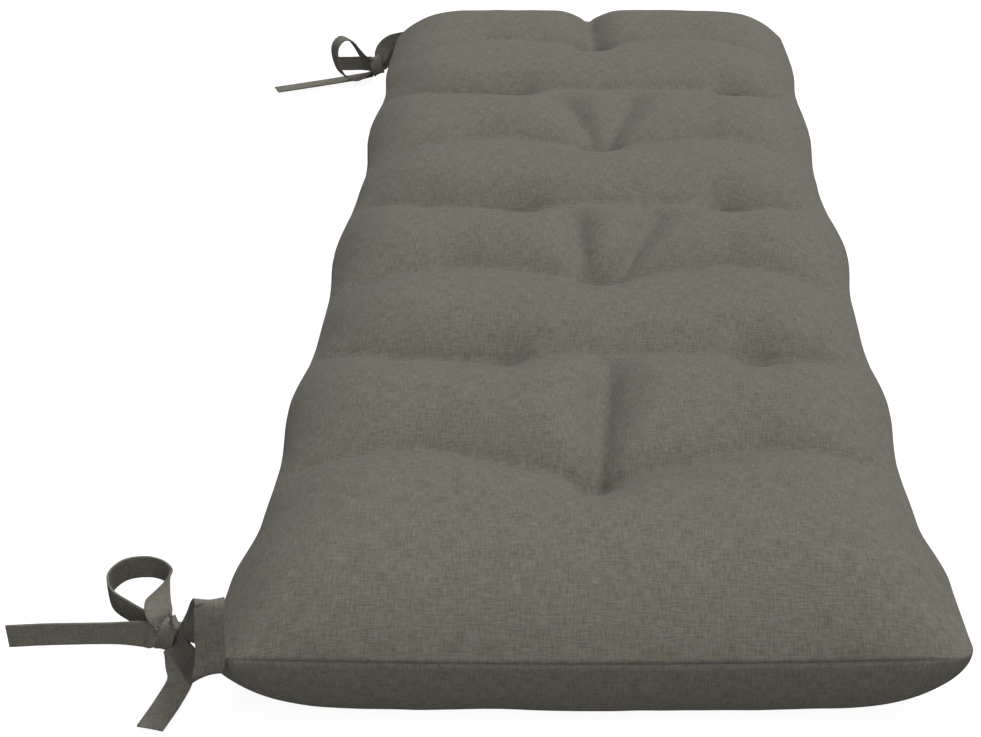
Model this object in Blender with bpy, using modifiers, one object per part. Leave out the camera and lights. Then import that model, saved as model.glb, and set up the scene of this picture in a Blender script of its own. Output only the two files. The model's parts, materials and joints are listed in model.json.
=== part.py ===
"""Bench cushion with two ribbon ties, in metres with +Z up.

The cushion lies on its underside with its length along Y. A top and a bottom
panel meet in one seam at mid height, and ten tufts pull the top panel down in
seven rows. A ribbon is sewn to each corner on the -X side, and tied in a bow.
"""

from collections import namedtuple

import bmesh
import bpy
from mathutils import Vector

MM = 0.001

# The cushion
LENGTH = 1.22
SEAM_HEIGHT = 0.060
CROWN = 0.040  # rise of the highest pads over the seam
FAR_CROWN = 0.006  # further rise at the far end
FAR_CROWN_REACH = 0.24
EDGE_ROLL = 0.105  # distance from the seam to the full height of the top panel
SIDE_FULLNESS = 3.2  # a higher number brings the panel up more steeply from the seam
END_FULLNESS = 3.0
UNDER_ROLL_SIDE = 0.082  # distances from the seam to the flat of the underside
UNDER_ROLL_END = 0.041
UNDER_FULLNESS = 2.4
UNDER_STEEPNESS = 2.0  # makes the lower panel leave the seam straight down
NEAR_CORNER = 0.016  # radii of the seam's corners
FAR_CORNER = 0.050
END_BOW = 0.005  # the ends bulge this far between their corners
CELLS_ACROSS = 30
CELLS_ALONG = 74

# The rows of tufts, counted in steps from the near end
NEAR_MARGIN = 1.10
FAR_MARGIN = 1.03
ROW_STEP = LENGTH / (NEAR_MARGIN + 6 + FAR_MARGIN)
TUFT_REACH = 0.060
CREASE_REACH = 0.066
VALLEY_REACH = 0.042
DIMPLE_DEPTH = 0.007  # the tufts also draw up the underside
DIMPLE_REACH = 0.045
FOLD_BLEND = 4  # a higher number keeps the folds' lines sharper where they cross

# The ribbons
RIBBON_WIDTH = 0.018
RIBBON_THICKNESS = 0.0015
STEPS_BETWEEN_STATIONS = 3
KNOT_SEGMENTS = 14
KNOT_RINGS = 9

CLOTH_COLOUR = (0.158, 0.149, 0.125, 1.0)
RIBBON_COLOUR = (0.140, 0.133, 0.113, 1.0)
CLOTH_ROUGHNESS = 0.95

# The seam's line seen from above. place: steps from the near end. left and right:
# how far the seam lies from the middle line, in millimetres.
Edge = namedtuple("Edge", "place left right")
OUTLINE = (
    Edge(0.00, 238, 239),
    Edge(0.50, 236, 237),
    Edge(0.95, 227, 227),
    Edge(1.42, 226, 225),
    Edge(2.00, 233, 232),
    Edge(2.60, 226, 226),
    Edge(3.15, 227, 228),
    Edge(3.80, 235, 237),
    Edge(4.65, 229, 228),
    Edge(5.00, 228, 229),
    Edge(5.80, 238, 237),
    Edge(6.50, 233, 235),
    Edge(7.10, 240, 241),
    Edge(8.13, 240, 238),
)

# place: steps from the near end. tufts: x of each tuft in metres. depth: of its tufts.
# crease: depth of the fold between a tuft and the side. knee and drift: steps that the
# fold has moved towards the far end halfway to the side, and at the side.
# middle: depth of the fold between two tufts.
Row = namedtuple("Row", "place tufts depth crease knee drift middle")
ROWS = (
    Row(1.10, (0.004,), 0.034, 0.017, 0.27, 0.18, 0.0),
    Row(2.25, (-0.064, 0.130), 0.028, 0.022, 0.04, 0.19, 0.016),
    Row(3.16, (0.010,), 0.034, 0.018, 0.16, -0.10, 0.0),
    Row(4.13, (-0.061, 0.128), 0.028, 0.021, 0.06, 0.23, 0.015),
    Row(5.08, (0.012,), 0.034, 0.014, 0.14, -0.16, 0.0),
    Row(6.12, (-0.075, 0.152), 0.026, 0.019, 0.02, 0.20, 0.013),
    Row(7.06, (0.004,), 0.034, 0.009, 0.12, -0.22, 0.0),
)

# A valley runs along the cushion from a tuft towards the next row.
# x and place give each end, and depth its depth there.
Valley = namedtuple("Valley", "x_near place_near depth_near x_far place_far depth_far")
VALLEYS = (
    Valley(0.004, 1.10, 0.029, 0.014, 2.16, 0.020),
    Valley(-0.004, 3.16, 0.026, -0.014, 3.90, 0.014),
    Valley(0.022, 3.16, 0.027, 0.062, 3.90, 0.012),
    Valley(0.008, 5.08, 0.024, -0.026, 5.82, 0.013),
    Valley(0.014, 5.08, 0.025, 0.046, 5.82, 0.012),
    Valley(0.004, 7.06, 0.026, -0.004, 8.10, 0.021),
)

# A ribbon passes through stations: x y z in millimetres, and the direction of its
# width there as side_x side_y side_z.
Station = namedtuple("Station", "x y z side_x side_y side_z")

NEAR_BAND = (
    Station(-269, -540, 32, 0.2, -0.3, -0.9),
    Station(-263, -552, 39, 0.6, -0.2, -0.8),
    Station(-253, -570, 50, 0.8, -0.1, -0.5),
    Station(-240, -588, 77, 0.9, -0.1, -0.4),
    Station(-231, -601, 99, 1.0, 0.0, -0.1),
    Station(-227, -606, 105, 1.0, 0.0, 0.0),
    Station(-227, -610, 99, 1.0, 0.0, 0.0),
    Station(-228, -611, 87, 1.0, 0.0, 0.0),
    Station(-229, -611, 72, 1.0, 0.0, 0.0),
    Station(-231, -611, 60, 0.9, 0.1, 0.1),
    Station(-235, -608, 51, 0.8, 0.2, 0.2),
    Station(-243, -595, 42, 0.7, 0.3, 0.6),
    Station(-254, -573, 30, 0.5, 0.3, 0.8),
    Station(-268, -548, 22, 0.4, 0.3, 0.9),
)
NEAR_LOOP = (
    Station(-286, -521, 29, 1.0, 0.0, 0.1),
    Station(-292, -502, 26, 1.0, 0.0, 0.3),
    Station(-295, -482, 21, 0.7, 0.0, 0.7),
    Station(-294, -467, 16, 0.3, 0.0, 0.9),
    Station(-300, -455, 14, 0.0, 0.0, 1.0),
    Station(-313, -449, 13, 0.0, 0.0, 1.0),
    Station(-328, -453, 13, 0.0, 0.0, 1.0),
    Station(-335, -467, 12, 0.0, 0.0, 1.0),
    Station(-328, -485, 12, 0.0, 0.0, 1.0),
    Station(-313, -498, 12, 0.0, 0.0, 1.0),
    Station(-301, -507, 12, 0.0, 0.0, 1.0),
)
NEAR_SIDE_TAIL = (
    Station(-291, -529, 17, 0.0, 0.5, 0.9),
    Station(-300, -524, 14, 0.0, 0.3, 1.0),
    Station(-320, -521, 12, 0.0, 0.0, 1.0),
    Station(-361, -522, 12, 0.0, 0.0, 1.0),
    Station(-389, -524, 12, 0.0, 0.0, 1.0),
)
NEAR_FRONT_TAIL = (
    Station(-269, -549, 9, 1.0, 0.1, 0.2),
    Station(-266, -560, 6, 1.0, 0.0, 0.1),
    Station(-270, -580, 4, 1.0, -0.1, 0.0),
    Station(-276, -604, 4, 0.9, -0.3, 0.0),
)
FAR_BAND = (
    Station(-262, 579, 30, -0.7, 0.2, 0.5),
    Station(-258, 583, 40, -0.7, 0.1, 0.6),
    Station(-249, 585, 48, -0.4, -0.1, 0.9),
    Station(-238, 588, 51, 0.0, -0.2, 1.0),
    Station(-230, 595, 49, 0.0, 0.0, 1.0),
    Station(-229, 601, 44, 0.0, 0.1, 1.0),
    Station(-235, 599, 38, 0.0, 0.2, 1.0),
    Station(-247, 590, 32, 0.0, 0.2, 1.0),
    Station(-255, 583, 25, 0.1, 0.2, 0.9),
    Station(-259, 578, 21, 0.1, 0.1, 0.9),
)
FAR_LOOP = (
    Station(-274, 574, 25, 0.4, -0.6, 0.7),
    Station(-282, 568, 35, 0.5, -0.8, 0.3),
    Station(-289, 563, 48, 0.5, -0.8, 0.0),
    Station(-296, 559, 59, 0.5, -0.8, 0.0),
    Station(-305, 554, 63, 0.5, -0.8, 0.0),
    Station(-313, 549, 55, 0.5, -0.8, 0.0),
    Station(-314, 548, 40, 0.5, -0.8, 0.0),
    Station(-309, 551, 21, 0.5, -0.8, 0.0),
    Station(-298, 557, 10, 0.5, -0.8, 0.0),
    Station(-286, 564, 10, 0.5, -0.8, 0.1),
    Station(-275, 569, 14, 0.4, -0.6, 0.5),
)
FAR_SIDE_TAIL = (
    Station(-276, 581, 8, 0.3, -0.9, 0.1),
    Station(-286, 577, 6, 0.3, -0.9, 0.0),
    Station(-316, 567, 4, 0.3, -0.9, 0.0),
    Station(-351, 553, 3, 0.3, -0.9, 0.0),
    Station(-388, 536, 3, 0.5, -0.8, 0.0),
)
FAR_BACK_TAIL = (
    Station(-273, 586, 19, 0.0, 0.2, 0.9),
    Station(-282, 598, 15, 0.0, 0.1, 1.0),
    Station(-293, 605, 13, 0.0, 0.0, 1.0),
    Station(-306, 607, 12, 0.0, 0.0, 1.0),
    Station(-322, 607, 12, 0.0, 0.0, 1.0),
)
RIBBONS = {
    "near_tie_band": NEAR_BAND,
    "near_tie_loop": NEAR_LOOP,
    "near_tie_side_tail": NEAR_SIDE_TAIL,
    "near_tie_front_tail": NEAR_FRONT_TAIL,
    "far_tie_band": FAR_BAND,
    "far_tie_loop": FAR_LOOP,
    "far_tie_side_tail": FAR_SIDE_TAIL,
    "far_tie_back_tail": FAR_BACK_TAIL,
}

# x y z of a knot's middle and its half sizes, in millimetres
Knot = namedtuple("Knot", "x y z half_x half_y half_z")
KNOTS = {
    "near_tie_knot": Knot(-278, -533, 20, 6.5, 7.5, 11),
    "far_tie_knot": Knot(-267, 574, 21, 6, 7, 10),
}


# ---------------------------------------------------------------- scene


def clear_scene():
    for obj in list(bpy.data.objects):
        bpy.data.objects.remove(obj)


def new_collection(name):
    collection = bpy.data.collections.new(name)
    bpy.context.scene.collection.children.link(collection)
    return collection


def new_material(name, colour):
    material = bpy.data.materials.new(name)
    material.use_nodes = True
    shader = material.node_tree.nodes["Principled BSDF"]
    shader.inputs["Base Color"].default_value = colour
    shader.inputs["Roughness"].default_value = CLOTH_ROUGHNESS
    shader.inputs["Metallic"].default_value = 0.0
    return material


def object_of(name, bm, collection, material):
    mesh = bpy.data.meshes.new(name)
    bm.to_mesh(mesh)
    bm.free()
    obj = bpy.data.objects.new(name, mesh)
    obj.data.materials.append(material)
    collection.objects.link(obj)
    return obj


# ---------------------------------------------------------------- shape of the cushion


def along(place):
    """Y of a place counted in row steps from the near end."""
    return -LENGTH / 2 + place * ROW_STEP


def dip(distance, reach):
    """1 on a fold, falling to 0 at its reach, with the pads domed on either side of it."""
    return max(0.0, 1.0 - abs(distance) / reach) ** 2


def rise(distance, reach, fullness, steepness=1.0):
    """0 at the seam, climbing away from it and levelling out at reach."""
    share = min(max(distance / reach, 0.0), 1.0)
    return (1.0 - (1.0 - share) ** fullness) ** (1.0 / steepness)


def from_line(point, start, end):
    """Distance of a point from the line between two others, and its share of the way along."""
    way = end - start
    share = min(max((point - start).dot(way) / way.length_squared, 0.0), 1.0)
    return (point - start - way * share).length, share


def round_off(y, end, radius):
    """How far a rounded corner draws the side in, near the end that y faces."""
    into_corner = max(0.0, abs(y) - (end - radius))
    return radius - max(0.0, radius**2 - into_corner**2) ** 0.5


def half_width(y, is_left):
    """Distance from the middle line to the seam, on the left or the right."""
    below = [edge for edge in OUTLINE if along(edge.place) <= y]
    above = [edge for edge in OUTLINE if along(edge.place) > y]
    before = below[-1] if below else OUTLINE[0]
    after = above[0] if above else OUTLINE[-1]
    span = along(after.place) - along(before.place)
    share = min(max((y - along(before.place)) / span, 0.0), 1.0) if span else 0.0
    share = share * share * (3.0 - 2.0 * share)
    start, end = (before.left, after.left) if is_left else (before.right, after.right)
    radius = NEAR_CORNER if y < 0 else FAR_CORNER
    return (start + (end - start) * share) * MM - round_off(y, LENGTH / 2, radius)


def creases(row):
    """The folds of a row: each one's start, end and depth."""
    widest = max(edge.left + edge.right for edge in OUTLINE) / 2 * MM
    found = []
    for side, x in ((-1, row.tufts[0]), (1, row.tufts[-1])):
        tuft = Vector((x, along(row.place)))
        knee = Vector(((x + side * widest) / 2, along(row.place + row.knee)))
        rim = Vector((side * widest, along(row.place + row.drift)))
        found.append((tuft, knee, row.crease))
        found.append((knee, rim, row.crease))
    if row.middle:
        start = Vector((row.tufts[0], along(row.place)))
        end = Vector((row.tufts[-1], along(row.place)))
        found.append((start, end, row.middle))
    return found


def fold_depth(point):
    """How far tufts, creases and valleys pull the top panel down at a point."""
    depths = []
    for row in ROWS:
        for x in row.tufts:
            gap = (point - Vector((x, along(row.place)))).length
            depths.append(row.depth * dip(gap, TUFT_REACH))
        for start, end, depth in creases(row):
            depths.append(depth * dip(from_line(point, start, end)[0], CREASE_REACH))
    for valley in VALLEYS:
        near = Vector((valley.x_near, along(valley.place_near)))
        far = Vector((valley.x_far, along(valley.place_far)))
        away, share = from_line(point, near, far)
        depth = valley.depth_near + (valley.depth_far - valley.depth_near) * share
        depths.append(depth * dip(away, VALLEY_REACH))
    return sum(depth**FOLD_BLEND for depth in depths) ** (1.0 / FOLD_BLEND)


def top_height(point, side_gap, end_gap):
    swell = rise(side_gap, EDGE_ROLL, SIDE_FULLNESS) * rise(end_gap, EDGE_ROLL, END_FULLNESS)
    crown = CROWN + FAR_CROWN * dip(LENGTH / 2 - point.y, FAR_CROWN_REACH)
    return SEAM_HEIGHT + swell * (crown - fold_depth(point))


def under_height(point, side_gap, end_gap):
    swell = rise(side_gap, UNDER_ROLL_SIDE, UNDER_FULLNESS, UNDER_STEEPNESS)
    swell *= rise(end_gap, UNDER_ROLL_END, UNDER_FULLNESS, UNDER_STEEPNESS)
    tufts = [Vector((x, along(row.place))) for row in ROWS for x in row.tufts]
    dimple = max(dip((point - tuft).length, DIMPLE_REACH) for tuft in tufts)
    return SEAM_HEIGHT * (1.0 - swell) + DIMPLE_DEPTH * dimple * swell


def closer_at_the_rim(share):
    """A grid's coordinate from -1 to 1, with its lines closer together near the seam."""
    return 1.5 * share - 0.5 * share**3


def shaped_panel(bm, height):
    """One panel: a flat grid whose points are placed inside the seam and lifted."""
    made = bmesh.ops.create_grid(
        bm, x_segments=CELLS_ACROSS, y_segments=CELLS_ALONG, size=1.0
    )
    for vert in made["verts"]:
        across = closer_at_the_rim(vert.co.x)
        lengthwise = closer_at_the_rim(vert.co.y)
        end = LENGTH / 2 - END_BOW * across**2
        y = lengthwise * end
        half = half_width(lengthwise * LENGTH / 2, across < 0)
        x = across * half
        gaps = (half * (1.0 - abs(across)), end * (1.0 - abs(lengthwise)))
        vert.co = (x, y, height(Vector((x, y)), *gaps))
    return made["verts"]


def add_cushion(collection):
    bm = bmesh.new()
    shaped_panel(bm, top_height)
    lower = shaped_panel(bm, under_height)
    lower_faces = {face for vert in lower for face in vert.link_faces}
    bmesh.ops.reverse_faces(bm, faces=list(lower_faces))
    bmesh.ops.remove_doubles(bm, verts=bm.verts, dist=1e-6)
    bmesh.ops.triangulate(bm, faces=bm.faces)
    material = new_material("cushion_cloth", CLOTH_COLOUR)
    return object_of("cushion", bm, collection, material)


# ---------------------------------------------------------------- ties


def smooth_between(before, start, end, after, share):
    """A point of the smooth curve through four others."""
    ease = start * 2 + (end - before) * share
    ease += (before * 2 - start * 5 + end * 4 - after) * share**2
    ease += (start * 3 - before - end * 3 + after) * share**3
    return ease / 2


def smooth_route(points):
    """The points with more between them, on one smooth curve."""
    ends = [points[0] * 2 - points[1], *points, points[-1] * 2 - points[-2]]
    route = []
    for i in range(1, len(ends) - 2):
        for step in range(STEPS_BETWEEN_STATIONS):
            share = step / STEPS_BETWEEN_STATIONS
            route.append(smooth_between(*ends[i - 1 : i + 3], share))
    return [*route, points[-1]]


def add_ribbon(name, stations, collection, material):
    """A strip of cloth along its stations, thickened by Solidify."""
    middles = smooth_route([Vector(station[:3]) * MM for station in stations])
    sides = smooth_route([Vector(station[3:]).normalized() for station in stations])
    bm = bmesh.new()
    rungs = []
    for middle, side in zip(middles, sides):
        reach = side.normalized() * RIBBON_WIDTH / 2
        rungs.append((bm.verts.new(middle - reach), bm.verts.new(middle + reach)))
    for (a, b), (c, d) in zip(rungs, rungs[1:]):
        bm.faces.new((a, b, d, c))
    ribbon = object_of(name, bm, collection, material)
    thicken = ribbon.modifiers.new("thickness", "SOLIDIFY")
    thicken.thickness = RIBBON_THICKNESS
    thicken.offset = 0.0
    return ribbon


def add_knot(name, knot, collection, material):
    bm = bmesh.new()
    bmesh.ops.create_uvsphere(
        bm, u_segments=KNOT_SEGMENTS, v_segments=KNOT_RINGS, radius=1.0
    )
    obj = object_of(name, bm, collection, material)
    obj.location = Vector((knot.x, knot.y, knot.z)) * MM
    obj.scale = Vector((knot.half_x, knot.half_y, knot.half_z)) * MM
    return obj


def main():
    clear_scene()
    collection = new_collection("bench_cushion")
    add_cushion(collection)
    tie_cloth = new_material("tie_cloth", RIBBON_COLOUR)
    for name, stations in RIBBONS.items():
        add_ribbon(name, stations, collection, tie_cloth)
    for name, knot in KNOTS.items():
        add_knot(name, knot, collection, tie_cloth)


main()
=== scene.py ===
"""The looks of a tufted bench cushion and the two ribbon ties at its corners.

The cushion is two woven panels sewn together at mid height. Each panel is a grid
placed by the same folds as the frame's solid, swollen by a short cloth simulation,
and then given its seam, its puckers and its small unevenness. The ribbons are thin
strips of cloth on smooth routes, gathered where they go into a knot.
"""

import json
import math
from collections import namedtuple

import bpy
import numpy as np
from mathutils import Matrix, Vector, noise

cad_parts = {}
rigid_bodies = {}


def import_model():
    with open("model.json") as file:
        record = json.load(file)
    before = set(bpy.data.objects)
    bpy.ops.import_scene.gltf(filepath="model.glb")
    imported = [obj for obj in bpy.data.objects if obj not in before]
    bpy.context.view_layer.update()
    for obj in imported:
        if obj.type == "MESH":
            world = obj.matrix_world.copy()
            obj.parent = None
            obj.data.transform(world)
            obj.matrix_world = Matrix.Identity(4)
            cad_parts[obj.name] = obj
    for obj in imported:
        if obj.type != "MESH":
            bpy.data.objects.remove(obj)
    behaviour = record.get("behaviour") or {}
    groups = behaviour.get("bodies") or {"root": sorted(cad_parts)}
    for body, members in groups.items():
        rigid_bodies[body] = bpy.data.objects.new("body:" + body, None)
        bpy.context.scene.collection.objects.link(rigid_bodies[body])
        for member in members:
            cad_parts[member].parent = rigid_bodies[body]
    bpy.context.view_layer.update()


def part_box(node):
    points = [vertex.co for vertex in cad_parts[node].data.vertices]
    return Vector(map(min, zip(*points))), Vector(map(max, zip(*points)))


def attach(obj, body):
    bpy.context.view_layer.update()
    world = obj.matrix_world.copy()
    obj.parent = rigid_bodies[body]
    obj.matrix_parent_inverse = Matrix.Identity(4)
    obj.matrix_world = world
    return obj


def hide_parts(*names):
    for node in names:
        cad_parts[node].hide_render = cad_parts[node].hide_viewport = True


bl_info = {
    "name": "Tufted Bench Cushion",
    "version": (1, 0, 0),
    "blender": (4, 5, 0),
    "location": "3D View > Sidebar > Cushion",
    "description": "Adds a tufted bench cushion with ribbon ties tied in bows",
    "category": "Add Mesh",
}

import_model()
cushion_low, cushion_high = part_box("cushion")

MM = 0.001

# ---------------------------------------------------------------- the cushion's folds

NEAR_MARGIN = 1.10
FAR_MARGIN = 1.03

# The seam's line seen from above. place: steps from the near end. left and right:
# how far the seam lies from the middle line, in millimetres.
Edge = namedtuple("Edge", "place left right")
OUTLINE = (
    Edge(0.00, 238, 239),
    Edge(0.50, 236, 237),
    Edge(0.95, 227, 227),
    Edge(1.42, 226, 225),
    Edge(2.00, 233, 232),
    Edge(2.60, 226, 226),
    Edge(3.15, 227, 228),
    Edge(3.80, 235, 237),
    Edge(4.65, 229, 228),
    Edge(5.00, 228, 229),
    Edge(5.80, 238, 237),
    Edge(6.50, 233, 235),
    Edge(7.10, 240, 241),
    Edge(8.13, 240, 238),
)

# place: steps from the near end. tufts: x of each tuft in metres. depth: of its tufts.
# crease: depth of the fold between a tuft and the side. knee and drift: steps that the
# fold has moved towards the far end halfway to the side, and at the side.
# middle: depth of the fold between two tufts.
Row = namedtuple("Row", "place tufts depth crease knee drift middle")
ROWS = (
    Row(1.10, (0.004,), 0.034, 0.017, 0.27, 0.18, 0.0),
    Row(2.25, (-0.064, 0.130), 0.028, 0.022, 0.04, 0.19, 0.016),
    Row(3.16, (0.010,), 0.034, 0.018, 0.16, -0.10, 0.0),
    Row(4.13, (-0.061, 0.128), 0.028, 0.021, 0.06, 0.23, 0.015),
    Row(5.08, (0.012,), 0.034, 0.014, 0.14, -0.16, 0.0),
    Row(6.12, (-0.075, 0.152), 0.026, 0.019, 0.02, 0.20, 0.013),
    Row(7.06, (0.004,), 0.034, 0.009, 0.12, -0.22, 0.0),
)

TUFT_REACH = 0.060
CREASE_REACH = 0.066
VALLEY_REACH = 0.042
AT_TUFT = 1.15  # a fold is this much deeper where it meets its tuft
FOLD_BLEND = 4  # a higher number keeps the folds' lines sharper where they cross
DIMPLE_DEPTH = 0.007  # the tufts also draw up the underside
DIMPLE_REACH = 0.045

SIDE_FULLNESS = 3.2  # a higher number brings the panel up more steeply from the seam
END_FULLNESS = 3.0
UNDER_FULLNESS = 2.4
UNDER_STEEPNESS = 2.0  # makes the lower panel leave the seam straight down
FAR_CROWN = 0.006  # further rise at the far end
FAR_CROWN_REACH = 0.24
END_BOW = 0.005  # the ends bulge this far between their corners

# A valley runs along the cushion from a tuft towards the next row.
# x and place give each end, and depth its depth there.
Valley = namedtuple("Valley", "x_near place_near depth_near x_far place_far depth_far")
VALLEYS = (
    Valley(0.004, 1.10, 0.029, 0.014, 2.16, 0.020),
    Valley(-0.004, 3.16, 0.026, -0.014, 3.90, 0.014),
    Valley(0.022, 3.16, 0.027, 0.062, 3.90, 0.012),
    Valley(0.008, 5.08, 0.024, -0.026, 5.82, 0.013),
    Valley(0.014, 5.08, 0.025, 0.046, 5.82, 0.012),
    Valley(0.004, 7.06, 0.026, -0.004, 8.10, 0.021),
)

# ---------------------------------------------------------------- the ribbons' routes

# x y z in millimetres, and the direction of the ribbon's width there.
Station = namedtuple("Station", "x y z side_x side_y side_z")

NEAR_BAND = (
    Station(-269, -540, 32, 0.2, -0.3, -0.9),
    Station(-263, -552, 39, 0.6, -0.2, -0.8),
    Station(-253, -570, 50, 0.8, -0.1, -0.5),
    Station(-240, -588, 77, 0.9, -0.1, -0.4),
    Station(-231, -601, 99, 1.0, 0.0, -0.1),
    Station(-227, -606, 105, 1.0, 0.0, 0.0),
    Station(-227, -610, 99, 1.0, 0.0, 0.0),
    Station(-228, -611, 87, 1.0, 0.0, 0.0),
    Station(-229, -611, 72, 1.0, 0.0, 0.0),
    Station(-231, -611, 60, 0.9, 0.1, 0.1),
    Station(-235, -608, 51, 0.8, 0.2, 0.2),
    Station(-243, -595, 42, 0.7, 0.3, 0.6),
    Station(-254, -573, 30, 0.5, 0.3, 0.8),
    Station(-268, -548, 22, 0.4, 0.3, 0.9),
)
NEAR_LOOP = (
    Station(-286, -521, 29, 1.0, 0.0, 0.1),
    Station(-292, -502, 26, 1.0, 0.0, 0.3),
    Station(-295, -482, 21, 0.7, 0.0, 0.7),
    Station(-294, -467, 16, 0.3, 0.0, 0.9),
    Station(-300, -455, 14, 0.0, 0.0, 1.0),
    Station(-313, -449, 13, 0.0, 0.0, 1.0),
    Station(-328, -453, 13, 0.0, 0.0, 1.0),
    Station(-335, -467, 12, 0.0, 0.0, 1.0),
    Station(-328, -485, 12, 0.0, 0.0, 1.0),
    Station(-313, -498, 12, 0.0, 0.0, 1.0),
    Station(-301, -507, 12, 0.0, 0.0, 1.0),
)
NEAR_SIDE_TAIL = (
    Station(-291, -529, 17, 0.0, 0.5, 0.9),
    Station(-300, -524, 14, 0.0, 0.3, 1.0),
    Station(-320, -521, 12, 0.0, 0.0, 1.0),
    Station(-361, -522, 12, 0.0, 0.0, 1.0),
    Station(-389, -524, 12, 0.0, 0.0, 1.0),
)
NEAR_FRONT_TAIL = (
    Station(-269, -549, 9, 1.0, 0.1, 0.2),
    Station(-266, -560, 6, 1.0, 0.0, 0.1),
    Station(-270, -580, 4, 1.0, -0.1, 0.0),
    Station(-276, -604, 4, 0.9, -0.3, 0.0),
)
FAR_BAND = (
    Station(-262, 579, 30, -0.7, 0.2, 0.5),
    Station(-258, 583, 40, -0.7, 0.1, 0.6),
    Station(-249, 585, 48, -0.4, -0.1, 0.9),
    Station(-238, 588, 51, 0.0, -0.2, 1.0),
    Station(-230, 595, 49, 0.0, 0.0, 1.0),
    Station(-229, 601, 44, 0.0, 0.1, 1.0),
    Station(-235, 599, 38, 0.0, 0.2, 1.0),
    Station(-247, 590, 32, 0.0, 0.2, 1.0),
    Station(-255, 583, 25, 0.1, 0.2, 0.9),
    Station(-259, 578, 21, 0.1, 0.1, 0.9),
)
FAR_LOOP = (
    Station(-274, 574, 25, 0.4, -0.6, 0.7),
    Station(-282, 568, 35, 0.5, -0.8, 0.3),
    Station(-289, 563, 48, 0.5, -0.8, 0.0),
    Station(-296, 559, 59, 0.5, -0.8, 0.0),
    Station(-305, 554, 63, 0.5, -0.8, 0.0),
    Station(-313, 549, 55, 0.5, -0.8, 0.0),
    Station(-314, 548, 40, 0.5, -0.8, 0.0),
    Station(-309, 551, 21, 0.5, -0.8, 0.0),
    Station(-298, 557, 10, 0.5, -0.8, 0.0),
    Station(-286, 564, 10, 0.5, -0.8, 0.1),
    Station(-275, 569, 14, 0.4, -0.6, 0.5),
)
FAR_SIDE_TAIL = (
    Station(-276, 581, 8, 0.3, -0.9, 0.1),
    Station(-286, 577, 6, 0.3, -0.9, 0.0),
    Station(-316, 567, 4, 0.3, -0.9, 0.0),
    Station(-351, 553, 3, 0.3, -0.9, 0.0),
    Station(-388, 536, 3, 0.5, -0.8, 0.0),
)
FAR_BACK_TAIL = (
    Station(-273, 586, 19, 0.0, 0.2, 0.9),
    Station(-282, 598, 15, 0.0, 0.1, 1.0),
    Station(-293, 605, 13, 0.0, 0.0, 1.0),
    Station(-306, 607, 12, 0.0, 0.0, 1.0),
    Station(-322, 607, 12, 0.0, 0.0, 1.0),
)

# gathers_start and gathers_end say whether that end of a ribbon goes into the knot.
Ribbon = namedtuple("Ribbon", "stations gathers_start gathers_end held")
NEAR_RIBBONS = {
    "near_tie_band": Ribbon(NEAR_BAND, True, True, "folded"),
    "near_tie_loop": Ribbon(NEAR_LOOP, True, True, "folded"),
    "near_tie_side_tail": Ribbon(NEAR_SIDE_TAIL, True, False, "draped"),
    "near_tie_front_tail": Ribbon(NEAR_FRONT_TAIL, True, False, "draped"),
}
FAR_RIBBONS = {
    "far_tie_band": Ribbon(FAR_BAND, True, True, "folded"),
    "far_tie_loop": Ribbon(FAR_LOOP, True, True, "folded"),
    "far_tie_side_tail": Ribbon(FAR_SIDE_TAIL, True, False, "draped"),
    "far_tie_back_tail": Ribbon(FAR_BACK_TAIL, True, False, "draped"),
}

# A knot is a turn of ribbon round a middle in millimetres. half_high and half_deep are
# the turn's radii, wide is how much of the ribbon's width shows, and lean and swing
# turn it about Y and Z in degrees.
Knot = namedtuple("Knot", "x y z half_high half_deep wide lean swing")
KNOTS = {
    "near_tie_knot": Knot(-278, -533, 20, 11, 7.5, 12, 18, -12),
    "far_tie_knot": Knot(-267, 574, 21, 11, 8, 14, -14, 10),
}


# ---------------------------------------------------------------- settings


class CushionSettings(bpy.types.PropertyGroup):
    """Sizes of the cushion"""

    length: bpy.props.FloatProperty(
        name="Length",
        description="Length of the cushion along Y",
        default=cushion_high.y - cushion_low.y,
        unit="LENGTH",
    )
    width: bpy.props.FloatProperty(
        name="Width",
        description="Width of the cushion across X",
        default=0.479,
        unit="LENGTH",
    )
    seam_height: bpy.props.FloatProperty(
        name="Seam height",
        description="Height of the seam between the two panels",
        default=0.060,
        unit="LENGTH",
    )
    crown: bpy.props.FloatProperty(
        name="Crown",
        description="Rise of the highest pads over the seam",
        default=0.0405,
        unit="LENGTH",
    )
    edge_roll: bpy.props.FloatProperty(
        name="Edge roll",
        description="Distance from the seam to the full height of the top panel",
        default=0.105,
        unit="LENGTH",
    )
    under_roll: bpy.props.FloatProperty(
        name="Under roll",
        description="Distance from the seam to the flat of the underside",
        default=0.041,
        unit="LENGTH",
    )
    near_corner: bpy.props.FloatProperty(
        name="Near corners",
        description="Radius of the seam's two near corners",
        default=0.016,
        unit="LENGTH",
    )
    far_corner: bpy.props.FloatProperty(
        name="Far corners",
        description="Radius of the seam's two far corners",
        default=0.050,
        unit="LENGTH",
    )
    pressure: bpy.props.FloatProperty(
        name="Filling pressure",
        description="Pressure of the filling while the panels swell",
        default=4.0,
    )
    most_swell: bpy.props.FloatProperty(
        name="Most swell",
        description="The furthest that a point of the cloth moves as it swells",
        default=0.003,
        unit="LENGTH",
    )


class TieSettings(bpy.types.PropertyGroup):
    """Sizes of the ribbons"""

    width: bpy.props.FloatProperty(
        name="Ribbon width",
        description="Width of a ribbon",
        default=0.018,
        unit="LENGTH",
    )
    thickness: bpy.props.FloatProperty(
        name="Ribbon thickness",
        description="Thickness of a ribbon, which is two layers sewn together",
        default=0.0016,
        unit="LENGTH",
    )


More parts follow.
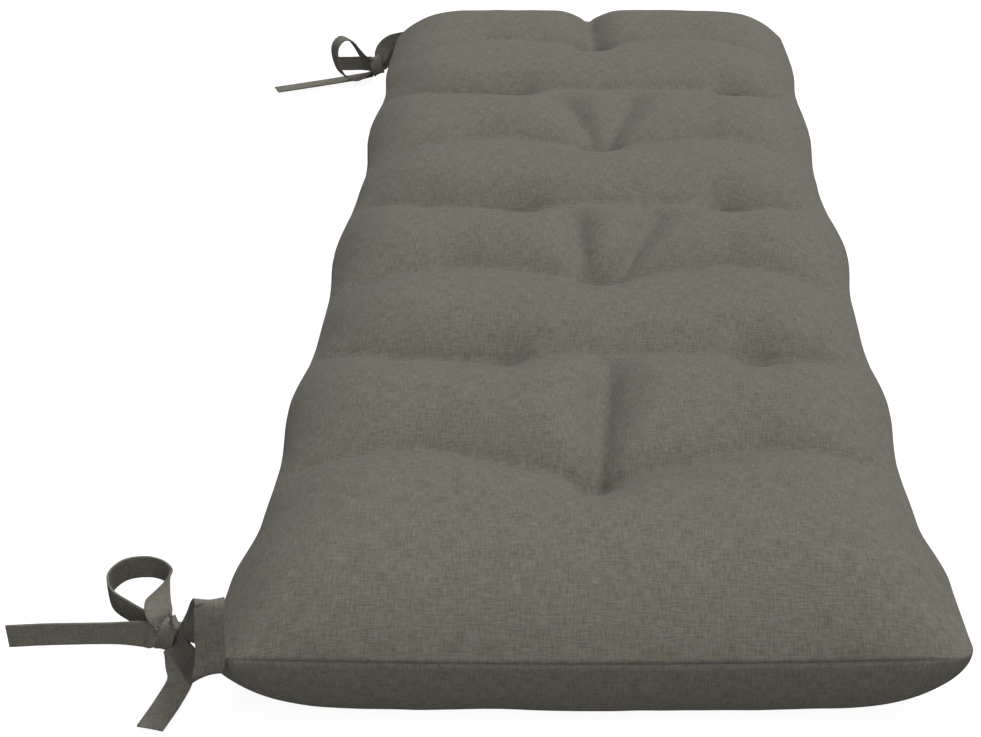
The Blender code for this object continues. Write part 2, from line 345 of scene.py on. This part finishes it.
class ClothSettings(bpy.types.PropertyGroup):
    """Colours of the cloth"""

    dark: bpy.props.FloatVectorProperty(
        name="Dark thread",
        description="Colour of the darker threads",
        subtype="COLOR",
        size=3,
        default=(0.085, 0.078, 0.062),
    )
    light: bpy.props.FloatVectorProperty(
        name="Light thread",
        description="Colour of the lighter threads",
        subtype="COLOR",
        size=3,
        default=(0.190, 0.180, 0.152),
    )
    thread: bpy.props.FloatProperty(
        name="Thread",
        description="Distance between neighbouring threads",
        default=0.0011,
        unit="LENGTH",
    )


class StageSettings(bpy.types.PropertyGroup):
    """Camera, lights and floor"""

    lens: bpy.props.FloatProperty(
        name="Lens",
        description="Focal length of the camera in millimetres",
        default=60.3,
    )
    pitch: bpy.props.FloatProperty(
        name="Pitch",
        description="How far the camera looks down",
        default=math.radians(28.0),
        unit="ROTATION",
    )
    camera_back: bpy.props.FloatProperty(
        name="Camera distance",
        description="Distance of the camera before the cushion's middle",
        default=1.390,
        unit="LENGTH",
    )
    camera_height: bpy.props.FloatProperty(
        name="Camera height",
        description="Height of the camera above the floor",
        default=0.721,
        unit="LENGTH",
    )
    air: bpy.props.FloatProperty(
        name="Air",
        description="Strength of the light from all round",
        default=0.10,
    )
    key: bpy.props.FloatProperty(
        name="Key light",
        description="Strength of the soft key light from above",
        default=2.85,
    )
    fill: bpy.props.FloatProperty(
        name="Fill light",
        description="Strength of the light from the front",
        default=1.7,
    )
    floor: bpy.props.FloatVectorProperty(
        name="Floor",
        description="Colour of the floor",
        subtype="COLOR",
        size=3,
        default=(0.20, 0.20, 0.20),
    )


# ---------------------------------------------------------------- small helpers


def deselect_all():
    for obj in bpy.context.view_layer.objects:
        obj.select_set(False)


def make_active(obj):
    deselect_all()
    obj.select_set(True)
    bpy.context.view_layer.objects.active = obj


def coordinates(obj):
    flat = np.empty(len(obj.data.vertices) * 3)
    obj.data.vertices.foreach_get("co", flat)
    return flat.reshape(-1, 3)


def place_points(obj, points):
    obj.data.vertices.foreach_set("co", np.ascontiguousarray(points).ravel())
    obj.data.update()


def point_normals(obj):
    flat = np.empty(len(obj.data.vertices) * 3)
    obj.data.vertices.foreach_get("normal", flat)
    return flat.reshape(-1, 3)


def apply_modifier(obj, name):
    make_active(obj)
    bpy.ops.object.modifier_apply(modifier=name)


def write_threads(obj, uv):
    """Gives each vertex its place on the cloth, in metres along the two threads."""
    loops = np.empty(len(obj.data.loops), dtype=np.int64)
    obj.data.loops.foreach_get("vertex_index", loops)
    layer = obj.data.uv_layers.active or obj.data.uv_layers.new()
    layer.name = "threads"
    layer.data.foreach_set("uv", uv[loops].ravel())


def smooth_step(share):
    """Eases a share from 0 to 1 at both ends."""
    return share * share * (3.0 - 2.0 * share)


def distances_along(route):
    """How far along the route each of its points is."""
    return np.cumsum([0.0, *((b - a).length for a, b in zip(route, route[1:]))])


def smooth_noise(points, scale, seed):
    """Soft noise from -1 to 1 at each point, with features about scale metres across."""
    shift = Vector((seed * 7.31, seed * 3.17, seed * 5.73))
    return np.array([noise.noise(Vector(p) / scale + shift) for p in points])


# ---------------------------------------------------------------- shape of the cushion


class Shape:
    """Heights and outline of the cushion, worked out for many points at once."""

    def __init__(self, settings):
        self.settings = settings
        self.step = settings.length / (NEAR_MARGIN + 6 + FAR_MARGIN)

    def along(self, place):
        return -self.settings.length / 2 + place * self.step

    @staticmethod
    def dip(distance, reach, power=2.0):
        """1 on a fold, falling to 0 at its reach, with the pads domed beside it."""
        return np.clip(1.0 - np.abs(distance) / reach, 0.0, 1.0) ** power

    @staticmethod
    def rise(distance, reach, fullness, steepness=1.0):
        """0 at the seam, climbing away from it and levelling out at reach."""
        share = np.clip(distance / reach, 0.0, 1.0)
        return (1.0 - (1.0 - share) ** fullness) ** (1.0 / steepness)

    @staticmethod
    def from_line(x, y, start, end):
        way = np.subtract(end, start)
        share = ((x - start[0]) * way[0] + (y - start[1]) * way[1]) / (way @ way)
        share = np.clip(share, 0.0, 1.0)
        away = np.hypot(x - start[0] - share * way[0], y - start[1] - share * way[1])
        return away, share

    def tufts(self):
        return [(x, self.along(row.place), row) for row in ROWS for x in row.tufts]

    def creases(self):
        """Start, end, depth at each end, and reach of every fold on the top panel."""
        side_x = self.settings.width / 2
        found = []
        for row in ROWS:
            for side, x in ((-1, row.tufts[0]), (1, row.tufts[-1])):
                tuft = (x, self.along(row.place))
                knee = ((x + side * side_x) / 2, self.along(row.place + row.knee))
                rim = (side * side_x, self.along(row.place + row.drift))
                found.append((tuft, knee, row.crease * AT_TUFT, row.crease, CREASE_REACH))
                found.append((knee, rim, row.crease, row.crease, CREASE_REACH))
            if row.middle:
                start = (row.tufts[0], self.along(row.place))
                end = (row.tufts[-1], self.along(row.place))
                found.append((start, end, row.middle, row.middle, CREASE_REACH))
        for v in VALLEYS:
            start = (v.x_near, self.along(v.place_near))
            end = (v.x_far, self.along(v.place_far))
            found.append((start, end, v.depth_near, v.depth_far, VALLEY_REACH))
        return found

    def half_width(self, y, left):
        """Distance from the middle line to the seam, on the left or the right."""
        s = self.settings
        places = np.array([self.along(edge.place) for edge in OUTLINE])
        rights, lefts = np.array([(edge.right, edge.left) for edge in OUTLINE]).T
        widest = max(lefts + rights) / 2
        # between two rows of the outline the seam follows a smooth step
        at = np.clip(np.searchsorted(places, y, side="right"), 1, len(places) - 1)
        share = np.clip((y - places[at - 1]) / (places[at] - places[at - 1]), 0.0, 1.0)
        share = smooth_step(share)
        on_right = rights[at - 1] * (1 - share) + rights[at] * share
        on_left = lefts[at - 1] * (1 - share) + lefts[at] * share
        half = np.where(left, on_left, on_right) / widest * s.width / 2
        radius = np.where(y < 0, s.near_corner, s.far_corner)
        into_corner = np.maximum(0.0, np.abs(y) - (s.length / 2 - radius))
        return half - (radius - np.sqrt(np.maximum(0.0, radius**2 - into_corner**2)))

    def fold_depth(self, x, y):
        total = np.zeros_like(x)
        for tuft_x, tuft_y, row in self.tufts():
            gap = np.hypot(x - tuft_x, y - tuft_y)
            total += (row.depth * self.dip(gap, TUFT_REACH)) ** FOLD_BLEND
        for start, end, depth_start, depth_end, reach in self.creases():
            away, share = self.from_line(x, y, start, end)
            depth = depth_start + (depth_end - depth_start) * share
            total += (depth * self.dip(away, reach)) ** FOLD_BLEND
        return total ** (1.0 / FOLD_BLEND)

    def top(self, x, y, side_gap, end_gap, folded=True):
        s = self.settings
        swell = self.rise(side_gap, s.edge_roll, SIDE_FULLNESS)
        swell = swell * self.rise(end_gap, s.edge_roll, END_FULLNESS)
        crown = s.crown + FAR_CROWN * self.dip(s.length / 2 - y, FAR_CROWN_REACH)
        if folded:
            crown = crown - self.fold_depth(x, y)
        return s.seam_height + swell * crown

    def under(self, x, y, side_gap, end_gap, folded=True):
        s = self.settings
        swell = self.rise(side_gap, 2 * s.under_roll, UNDER_FULLNESS, UNDER_STEEPNESS)
        swell = swell * self.rise(end_gap, s.under_roll, UNDER_FULLNESS, UNDER_STEEPNESS)
        lifted = s.seam_height * (1.0 - swell)
        if folded:
            dimple = np.zeros_like(x)
            for tuft_x, tuft_y, _ in self.tufts():
                gap = np.hypot(x - tuft_x, y - tuft_y)
                dimple = np.maximum(dimple, self.dip(gap, DIMPLE_REACH))
            lifted = lifted + DIMPLE_DEPTH * dimple * swell
        return lifted


CELLS_ACROSS = 62
CELLS_ALONG = 158


def panel_grid(name, shape, height):
    """One panel as a grid of cloth, with its threads' coordinates in its UV map."""
    s = shape.settings
    deselect_all()
    bpy.ops.mesh.primitive_grid_add(
        x_subdivisions=CELLS_ACROSS, y_subdivisions=CELLS_ALONG, size=2.0
    )
    panel = bpy.context.active_object
    panel.name = panel.data.name = name
    flat = coordinates(panel)
    across, along = flat[:, 0], flat[:, 1]
    across = 1.5 * across - 0.5 * across**3
    along = 1.5 * along - 0.5 * along**3
    end = s.length / 2 - END_BOW * across**2
    y = along * end
    half = shape.half_width(along * s.length / 2, across < 0)
    x = across * half
    gaps = half * (1.0 - np.abs(across)), end * (1.0 - np.abs(along))
    place_points(panel, np.column_stack([x, y, height(x, y, *gaps)]))
    unrolled(panel, np.column_stack([x, y, height(x, y, *gaps, folded=False)]))
    return panel


def unrolled(panel, points):
    """Writes the UV map in metres: the panel laid flat, before its folds are sewn in."""
    rows = points.reshape(CELLS_ALONG + 1, CELLS_ACROSS + 1, 3)
    u = np.zeros(rows.shape[:2])
    v = np.zeros(rows.shape[:2])
    u[:, 1:] = np.cumsum(np.linalg.norm(np.diff(rows, axis=1), axis=2), axis=1)
    v[1:, :] = np.cumsum(np.linalg.norm(np.diff(rows, axis=0), axis=2), axis=0)
    u -= u[:, CELLS_ACROSS // 2][:, None]
    v -= v[CELLS_ALONG // 2, :][None, :]
    write_threads(panel, np.column_stack([u.ravel(), v.ravel()]))


SWELL_FRAMES = 20
HOLDING_DEPTH = 0.012  # a fold this deep is held still while the panels swell
HELD_AT_SIDES = 0.004  # cloth this near the seam is held still too
HELD_AT_ENDS = 0.006
HELD_BELOW_SEAM = 0.004  # and so is the lower panel, from this far below the seam


def swell_by_cloth(pad, shape):
    """Lets the filling press the panels outwards, held at the seam, tufts and floor."""
    s = shape.settings
    before = coordinates(pad)
    x, y, z = before.T
    folds = shape.fold_depth(x, y) / HOLDING_DEPTH
    rim = np.abs(x) > shape.half_width(y, x < 0) - HELD_AT_SIDES
    rim |= np.abs(y) > s.length / 2 - HELD_AT_ENDS
    under = z < s.seam_height - HELD_BELOW_SEAM
    held = np.where(rim | under, 1.0, np.clip(folds, 0.0, 1.0) ** 2)
    group = pad.vertex_groups.new(name="held")
    for index, weight in enumerate(held):
        group.add([index], float(weight), "REPLACE")
    cloth = pad.modifiers.new("filling", "CLOTH")
    cloth.settings.quality = 4
    cloth.settings.mass = 0.3
    cloth.settings.tension_stiffness = 12
    cloth.settings.compression_stiffness = 12
    cloth.settings.shear_stiffness = 5
    cloth.settings.bending_stiffness = 0.6
    cloth.settings.use_pressure = True
    cloth.settings.uniform_pressure_force = s.pressure
    cloth.settings.effector_weights.gravity = 0.0
    cloth.settings.vertex_group_mass = "held"
    cloth.collision_settings.use_collision = False
    cloth.point_cache.frame_start = 1
    cloth.point_cache.frame_end = SWELL_FRAMES
    for number in range(1, SWELL_FRAMES + 1):
        bpy.context.scene.frame_set(number)
    apply_modifier(pad, "filling")
    after = coordinates(pad)
    moved = after - before
    far = np.linalg.norm(moved, axis=1)
    share = np.minimum(1.0, s.most_swell / np.maximum(far, 1e-9))
    after = before + moved * share[:, None]
    after[:, 2] = np.maximum(after[:, 2], 0.0)
    place_points(pad, after)
    bpy.context.scene.frame_set(1)
    pad.vertex_groups.clear()


GROOVE_DEPTH = 0.0022
GROOVE_WIDTH = 0.0013
SEAM_PUCKER = 0.0005
SEAM_PUCKER_SPACING = 0.0060
SEAM_PUCKER_REACH = 0.012
FOLD_LINE_DEPTH = 0.0020
FOLD_LINE_WIDTH = 0.0045
USUAL_FOLD = 0.012  # the line along a fold this deep has its full depth
FADE_FROM_SEAM = 0.030
TUFT_PUCKER = 0.0012
TUFT_PUCKER_REACH = 0.012
BROAD_LUMPS = 0.0011
BROAD_LUMP_SIZE = 0.060
SMALL_LUMPS = 0.0004
SMALL_LUMP_SIZE = 0.022


def add_fine_shape(pad, shape):
    """The seam's groove, puckers at the tufts and along the seam, and small unevenness."""
    s = shape.settings
    points = coordinates(pad)
    normals = point_normals(pad)
    x, y, z = points.T
    half = shape.half_width(y, x < 0)
    end = s.length / 2 - END_BOW * (x / half) ** 2
    side_gap = np.abs(half - np.abs(x))
    end_gap = np.abs(end - np.abs(y))
    from_seam = np.hypot(np.minimum(side_gap, end_gap), z - s.seam_height)
    push = np.zeros(len(points))
    # cloth is drawn in where it goes into the seam
    push -= GROOVE_DEPTH * np.exp(-((from_seam / GROOVE_WIDTH) ** 2))
    # short puckers that fade away from the seam
    around = np.where(side_gap < end_gap, y, x)
    ripple = np.sin(around / SEAM_PUCKER_SPACING + 3.0 * smooth_noise(points, 0.05, 3))
    strength = np.clip(0.5 + smooth_noise(points, 0.07, 4), 0.0, 1.0)
    fade = np.exp(-from_seam / SEAM_PUCKER_REACH)
    fade = fade * np.clip(from_seam / 0.005 - 0.5, 0.0, 1.0)
    push += SEAM_PUCKER * ripple * strength * fade
    # a narrow line of stress along every fold, on the top panel
    on_top = z > s.seam_height
    line = np.zeros(len(points))
    for start, fold_end, depth_start, depth_end, _ in shape.creases():
        away, share = shape.from_line(x, y, start, fold_end)
        sharp = (depth_start + (depth_end - depth_start) * share) / USUAL_FOLD
        line = np.maximum(line, sharp * np.exp(-((away / FOLD_LINE_WIDTH) ** 2)))
    inwards = np.clip(np.minimum(side_gap, end_gap) / FADE_FROM_SEAM, 0.0, 1.0)
    push -= np.where(on_top, FOLD_LINE_DEPTH * line * inwards, 0.0)
    # radial puckers at the tufts
    for index, (tuft_x, tuft_y, _) in enumerate(shape.tufts()):
        radius = np.hypot(x - tuft_x, y - tuft_y)
        angle = np.arctan2(y - tuft_y, x - tuft_x)
        wave = np.cos(7 * angle + index) + 0.6 * np.cos(11 * angle + 2.3 * index)
        fade = np.exp(-radius / TUFT_PUCKER_REACH) * np.clip(radius / 0.008, 0.0, 1.0)
        push += np.where(on_top, TUFT_PUCKER * wave * fade, 0.0)
    # filling that is never quite even
    loose = np.where(z > 0.002, np.clip(from_seam / 0.012, 0.0, 1.0), 0.0)
    push += BROAD_LUMPS * loose * smooth_noise(points, BROAD_LUMP_SIZE, 1)
    push += SMALL_LUMPS * loose * smooth_noise(points, SMALL_LUMP_SIZE, 2)
    points += normals * push[:, None]
    points[:, 2] = np.maximum(points[:, 2], 0.0)
    place_points(pad, points)


# ---------------------------------------------------------------- ribbons


def smooth_route(points, steps):
    """The points with more between them, on one smooth curve."""
    ends = [points[0] * 2 - points[1], *points, points[-1] * 2 - points[-2]]
    route = []
    for a, b, c, d in zip(ends, ends[1:], ends[2:], ends[3:]):
        for step in range(steps):
            t = step / steps
            bend = b * 2 + (c - a) * t
            bend += (a * 2 - b * 5 + c * 4 - d) * t**2
            bend += (b * 3 - a - c * 3 + d) * t**3
            route.append(bend / 2)
    return [*route, points[-1]]


ROUTE_STEPS = 10
RIBBON_STRIPS = 8
GATHER_REACH = 0.012
GATHERED_WIDTH = 0.72
GATHERED_CUP = 0.0020
INTO_KNOT = 0.6


def gather(distance):
    """1 at a knot, falling to 0 where the ribbon is flat again."""
    return smooth_step(min(max(1.0 - distance / GATHER_REACH, 0.0), 1.0))


def strip_of_cloth(name, middles, sides, widths, cups, thickness):
    """A strip along middles, given width and a curve across it, thickened and rounded."""
    bpy.ops.mesh.primitive_grid_add(
        x_subdivisions=RIBBON_STRIPS, y_subdivisions=len(middles) - 1, size=2.0
    )
    strip = bpy.context.active_object
    strip.name = strip.data.name = name
    tangents = [
        (middles[min(i + 1, len(middles) - 1)] - middles[max(i - 1, 0)]).normalized()
        for i in range(len(middles))
    ]
    travelled = distances_along(middles)
    points = []
    threads = []
    for i, middle in enumerate(middles):
        side = (sides[i] - tangents[i] * sides[i].dot(tangents[i])).normalized()
        out = tangents[i].cross(side)
        for k in range(RIBBON_STRIPS + 1):
            across = 2.0 * k / RIBBON_STRIPS - 1.0
            bow = cups[i] * (1.0 - across * across)
            points.append(middle + side * (across * widths[i] / 2) + out * bow)
            threads.append((across * widths[i] / 2, travelled[i]))
    place_points(strip, np.array(points))
    write_threads(strip, np.array(threads))
    thicken = strip.modifiers.new("thickness", "SOLIDIFY")
    thicken.thickness = thickness
    thicken.offset = 0.0
    apply_modifier(strip, "thickness")
    rounding = strip.modifiers.new("rounding", "BEVEL")
    rounding.width = thickness * 0.3
    rounding.segments = 2
    rounding.limit_method = "ANGLE"
    rounding.angle_limit = math.radians(50)
    apply_modifier(strip, "rounding")
    bpy.ops.object.shade_smooth()
    return strip, float(travelled[-1])


def finish_sheet(piece, name, material):
    piece.name = piece.data.name = name + "_ribbon"
    piece.data.materials.clear()
    piece.data.materials.append(material)
    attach(piece, "root")
    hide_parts(name)


def add_ribbon(name, ribbon, knot, settings, material):
    """One strand of a tie, carried on a little way inside the knot's turn."""
    heart = Vector(knot[:3]) * MM
    stops = [Vector(s[:3]) * MM for s in ribbon.stations]
    turns = [Vector(s[3:]).normalized() for s in ribbon.stations]
    if ribbon.gathers_start:
        stops.insert(0, stops[0].lerp(heart, INTO_KNOT))
        turns.insert(0, turns[0])
    if ribbon.gathers_end:
        stops.append(stops[-1].lerp(heart, INTO_KNOT))
        turns.append(turns[-1])
    middles = smooth_route(stops, ROUTE_STEPS)
    sides = smooth_route(turns, ROUTE_STEPS)
    travelled = distances_along(middles)
    total = travelled[-1]
    widths, cups = [], []
    for distance in travelled:
        pull = 0.0
        if ribbon.gathers_start:
            pull = max(pull, gather(distance))
        if ribbon.gathers_end:
            pull = max(pull, gather(total - distance))
        widths.append(settings.width * (1.0 - pull * (1.0 - GATHERED_WIDTH)))
        cups.append(0.0003 + GATHERED_CUP * pull)
    piece, length = strip_of_cloth(name, middles, sides, widths, cups, settings.thickness)
    finish_sheet(piece, name, material)


KNOT_STEPS = 56
KNOT_START = -205  # degrees round the knot where its turn begins
KNOT_TURN = 400  # degrees it goes round
KNOT_SPREAD = 0.16  # share by which the turn widens, so that it passes over itself
KNOT_DRIFT = 2.0  # millimetres it moves sideways
KNOT_CUP = 0.0012


def add_knot(name, knot, settings, material):
    """A turn of gathered ribbon round the strands."""
    turn = Matrix.Rotation(math.radians(knot.swing), 3, "Z")
    turn = turn @ Matrix.Rotation(math.radians(knot.lean), 3, "Y")
    middle = Vector((knot.x, knot.y, knot.z)) * MM
    middles, sides = [], []
    for i in range(KNOT_STEPS + 1):
        share = i / KNOT_STEPS
        angle = math.radians(KNOT_START + KNOT_TURN * share)
        spread = 1.0 + KNOT_SPREAD * share
        ring = Vector((0.0, -math.cos(angle) * knot.half_deep, math.sin(angle) * knot.half_high))
        drift = Vector((KNOT_DRIFT * (share - 0.5), 0.0, 0.0))
        middles.append(middle + turn @ ((ring * spread + drift) * MM))
        sides.append(turn @ Vector((1.0, 0.0, 0.12)))
    widths = [knot.wide * MM] * len(middles)
    cups = [KNOT_CUP] * len(middles)
    piece, length = strip_of_cloth(name, middles, sides, widths, cups, settings.thickness)
    finish_sheet(piece, name, material)


# ---------------------------------------------------------------- materials


CUSHION_TONE = 1.0
TIE_TONE = 1.12  # the ties' cloth is a little lighter


def cloth_material(name, settings, tone):
    """Plain woven cloth with slubs: two sets of threads read from the UV map."""
    material = bpy.data.materials.new(name)
    material.use_nodes = True
    nodes = material.node_tree.nodes
    links = material.node_tree.links
    shader = nodes["Principled BSDF"]
    shader.inputs["Roughness"].default_value = 0.92
    shader.inputs["Specular IOR Level"].default_value = 0.22
    shader.inputs["Sheen Weight"].default_value = 0.05
    shader.inputs["Sheen Roughness"].default_value = 0.55

    where = nodes.new("ShaderNodeUVMap")
    where.uv_map = "threads"

    def noise_node(scale_u, scale_v, detail, seed):
        stretch = nodes.new("ShaderNodeMapping")
        stretch.inputs["Scale"].default_value = (scale_u, scale_v, 1.0)
        stretch.inputs["Location"].default_value = (seed, seed * 0.7, 0.0)
        links.new(where.outputs["UV"], stretch.inputs["Vector"])
        cloud = nodes.new("ShaderNodeTexNoise")
        cloud.inputs["Scale"].default_value = 1.0
        cloud.inputs["Detail"].default_value = detail
        cloud.inputs["Roughness"].default_value = 0.6
        links.new(stretch.outputs["Vector"], cloud.inputs["Vector"])
        return cloud.outputs["Fac"]

    def math_node(operation, first, second):
        node = nodes.new("ShaderNodeMath")
        node.operation = operation
        for socket, value in zip(node.inputs, (first, second)):
            if isinstance(value, (int, float)):
                socket.default_value = value
            else:
                links.new(value, socket)
        return node.outputs[0]

    def wave_node(direction):
        wave = nodes.new("ShaderNodeTexWave")
        wave.bands_direction = direction
        wave.inputs["Scale"].default_value = math.pi / (10.0 * settings.thread)
        wave.inputs["Distortion"].default_value = 1.2
        wave.inputs["Detail"].default_value = 1.0
        wave.inputs["Detail Scale"].default_value = 0.6
        links.new(where.outputs["UV"], wave.inputs["Vector"])
        return wave.outputs["Fac"]

    # long thin streaks along each thread direction
    warp = noise_node(900.0, 110.0, 2.0, 1.3)
    weft = noise_node(120.0, 800.0, 2.0, 4.1)
    cloudy = noise_node(90.0, 60.0, 3.0, 7.7)
    weave = math_node("MULTIPLY", wave_node("X"), wave_node("Y"))

    streaks = math_node("ADD", warp, weft)
    total = math_node("ADD", streaks, math_node("MULTIPLY", weave, 0.22))
    total = math_node("ADD", total, math_node("MULTIPLY", cloudy, 0.30))

    ramp = nodes.new("ShaderNodeValToRGB")
    ramp.color_ramp.elements[0].position = 0.0
    ramp.color_ramp.elements[1].position = 1.0
    ramp.color_ramp.elements[0].color = (*[c * tone for c in settings.dark], 1.0)
    ramp.color_ramp.elements[1].color = (*[c * tone for c in settings.light], 1.0)
    spread = nodes.new("ShaderNodeMapRange")
    spread.inputs["From Min"].default_value = 0.78
    spread.inputs["From Max"].default_value = 1.66
    links.new(total, spread.inputs["Value"])
    links.new(spread.outputs["Result"], ramp.inputs["Fac"])
    # some threads are a little more olive
    olive = nodes.new("ShaderNodeMix")
    olive.data_type = "RGBA"
    olive.blend_type = "MULTIPLY"
    olive.inputs["B"].default_value = (1.0, 0.985, 0.84, 1.0)
    fleck = nodes.new("ShaderNodeMapRange")
    fleck.inputs["From Min"].default_value = 0.52
    fleck.inputs["From Max"].default_value = 0.66
    links.new(noise_node(420.0, 180.0, 1.0, 9.2), fleck.inputs["Value"])
    links.new(fleck.outputs["Result"], olive.inputs["Factor"])
    links.new(ramp.outputs["Color"], olive.inputs["A"])
    links.new(olive.outputs["Result"], shader.inputs["Base Color"])

    bump = nodes.new("ShaderNodeBump")
    bump.inputs["Strength"].default_value = 0.35
    bump.inputs["Distance"].default_value = 0.0006
    links.new(total, bump.inputs["Height"])
    links.new(bump.outputs["Normal"], shader.inputs["Normal"])
    return material


# ---------------------------------------------------------------- operators


class AddCushion(bpy.types.Operator):
    """Adds the tufted cushion"""

    bl_idname = "bench_cushion.add_cushion"
    bl_label = "Add cushion"

    def execute(self, context):
        settings = context.scene.cushion_settings
        shape = Shape(settings)
        pad = panel_grid("cushion_pad", shape, shape.top)
        lower = panel_grid("cushion_underside", shape, shape.under)
        lower.data.flip_normals()
        deselect_all()
        lower.select_set(True)
        pad.select_set(True)
        context.view_layer.objects.active = pad
        bpy.ops.object.join()
        bpy.ops.object.mode_set(mode="EDIT")
        bpy.ops.mesh.select_all(action="SELECT")
        bpy.ops.mesh.remove_doubles(threshold=0.00001)
        bpy.ops.object.mode_set(mode="OBJECT")
        swell_by_cloth(pad, shape)
        finer = pad.modifiers.new("finer", "SUBSURF")
        finer.levels = finer.render_levels = 1
        apply_modifier(pad, "finer")
        add_fine_shape(pad, shape)
        make_active(pad)
        bpy.ops.object.shade_smooth()
        pad.data.materials.clear()
        pad.data.materials.append(
            cloth_material("cushion_weave", context.scene.cloth_settings, CUSHION_TONE)
        )
        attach(pad, "root")
        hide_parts("cushion")
        return {"FINISHED"}


def add_tie(context, weave, ribbons, knot_name):
    """Every strand of one tie, and its knot."""
    settings = context.scene.tie_settings
    material = cloth_material(weave, context.scene.cloth_settings, TIE_TONE)
    for name, ribbon in ribbons.items():
        add_ribbon(name, ribbon, KNOTS[knot_name], settings, material)
    add_knot(knot_name, KNOTS[knot_name], settings, material)


class AddNearTie(bpy.types.Operator):
    """Adds the ribbon tied at the near corner"""

    bl_idname = "bench_cushion.add_near_tie"
    bl_label = "Add near tie"

    def execute(self, context):
        add_tie(context, "near_tie_weave", NEAR_RIBBONS, "near_tie_knot")
        return {"FINISHED"}


class AddFarTie(bpy.types.Operator):
    """Adds the ribbon tied at the far corner"""

    bl_idname = "bench_cushion.add_far_tie"
    bl_label = "Add far tie"

    def execute(self, context):
        add_tie(context, "far_tie_weave", FAR_RIBBONS, "far_tie_knot")
        return {"FINISHED"}


KEY_FROM = (0.8, 1.1, 2.6)  # above, behind and a little to the right
KEY_SOFTNESS = 50  # degrees across
FILL_FROM = (0.2, -1.0, 0.5)
FILL_SOFTNESS = 90
FLOOR_GLOW = 0.92
CAMERA_SHIFT = (-0.101, -0.062)


def add_sun(context, name, come_from, softness, strength):
    bpy.ops.object.light_add(type="SUN", location=come_from)
    sun = context.active_object
    sun.name = sun.data.name = name
    sun.rotation_euler = Vector(come_from).to_track_quat("Z", "Y").to_euler()
    sun.data.angle = math.radians(softness)
    sun.data.energy = strength


class AddStage(bpy.types.Operator):
    """Adds the floor, the lights and the camera"""

    bl_idname = "bench_cushion.add_stage"
    bl_label = "Add stage"

    def execute(self, context):
        settings = context.scene.stage_settings
        deselect_all()
        bpy.ops.mesh.primitive_plane_add(size=24.0, location=(0.0, 0.0, -0.0005))
        floor = context.active_object
        floor.name = "studio_floor"
        paint = bpy.data.materials.new("studio_floor_paint")
        paint.use_nodes = True
        paint_shader = paint.node_tree.nodes["Principled BSDF"]
        paint_shader.inputs["Base Color"].default_value = (*settings.floor, 1.0)
        paint_shader.inputs["Roughness"].default_value = 0.9
        paint_shader.inputs["Specular IOR Level"].default_value = 0.1
        paint_shader.inputs["Emission Color"].default_value = (1.0, 1.0, 1.0, 1.0)
        paint_shader.inputs["Emission Strength"].default_value = FLOOR_GLOW
        floor.data.materials.append(paint)
        floor.visible_diffuse = False
        floor.visible_glossy = False

        world = bpy.data.worlds.new("studio_air")
        world.use_nodes = True
        air = world.node_tree.nodes["Background"]
        air.inputs["Color"].default_value = (1.0, 1.0, 1.0, 1.0)
        air.inputs["Strength"].default_value = settings.air
        context.scene.world = world
        deselect_all()
        add_sun(context, "key_light", KEY_FROM, KEY_SOFTNESS, settings.key)
        add_sun(context, "fill_light", FILL_FROM, FILL_SOFTNESS, settings.fill)
        context.scene.view_settings.view_transform = "Standard"

        deselect_all()
        bpy.ops.object.camera_add(
            location=(0.0, -settings.camera_back, settings.camera_height),
            rotation=(math.pi / 2 - settings.pitch, 0.0, 0.0),
        )
        camera = context.active_object
        camera.name = "camera"
        camera.data.lens = settings.lens
        camera.data.shift_x, camera.data.shift_y = CAMERA_SHIFT
        camera.data.clip_start = 0.01
        context.scene.camera = camera
        return {"FINISHED"}


class CushionPanel(bpy.types.Panel):
    """Sizes of the bench cushion and buttons that add its pieces"""

    bl_idname = "VIEW3D_PT_bench_cushion"
    bl_label = "Bench cushion"
    bl_space_type = "VIEW_3D"
    bl_region_type = "UI"
    bl_category = "Cushion"

    def draw(self, context):
        layout = self.layout
        for group in (
            context.scene.cushion_settings,
            context.scene.tie_settings,
            context.scene.cloth_settings,
            context.scene.stage_settings,
        ):
            box = layout.box()
            for name in group.__annotations__:
                box.prop(group, name)
        for operator in OPERATORS:
            layout.operator(operator.bl_idname)


GROUPS = {
    "cushion_settings": CushionSettings,
    "tie_settings": TieSettings,
    "cloth_settings": ClothSettings,
    "stage_settings": StageSettings,
}
OPERATORS = (AddStage, AddCushion, AddNearTie, AddFarTie)


def register():
    for group in (*GROUPS.values(), *OPERATORS, CushionPanel):
        bpy.utils.register_class(group)
    for name, group in GROUPS.items():
        setattr(bpy.types.Scene, name, bpy.props.PointerProperty(type=group))


def unregister():
    for name in GROUPS:
        delattr(bpy.types.Scene, name)
    for group in reversed((*GROUPS.values(), *OPERATORS, CushionPanel)):
        bpy.utils.unregister_class(group)


def main():
    register()
    bpy.ops.bench_cushion.add_stage()
    bpy.ops.bench_cushion.add_cushion()
    bpy.ops.bench_cushion.add_near_tie()
    bpy.ops.bench_cushion.add_far_tie()


if __name__ == "__main__":
    main()
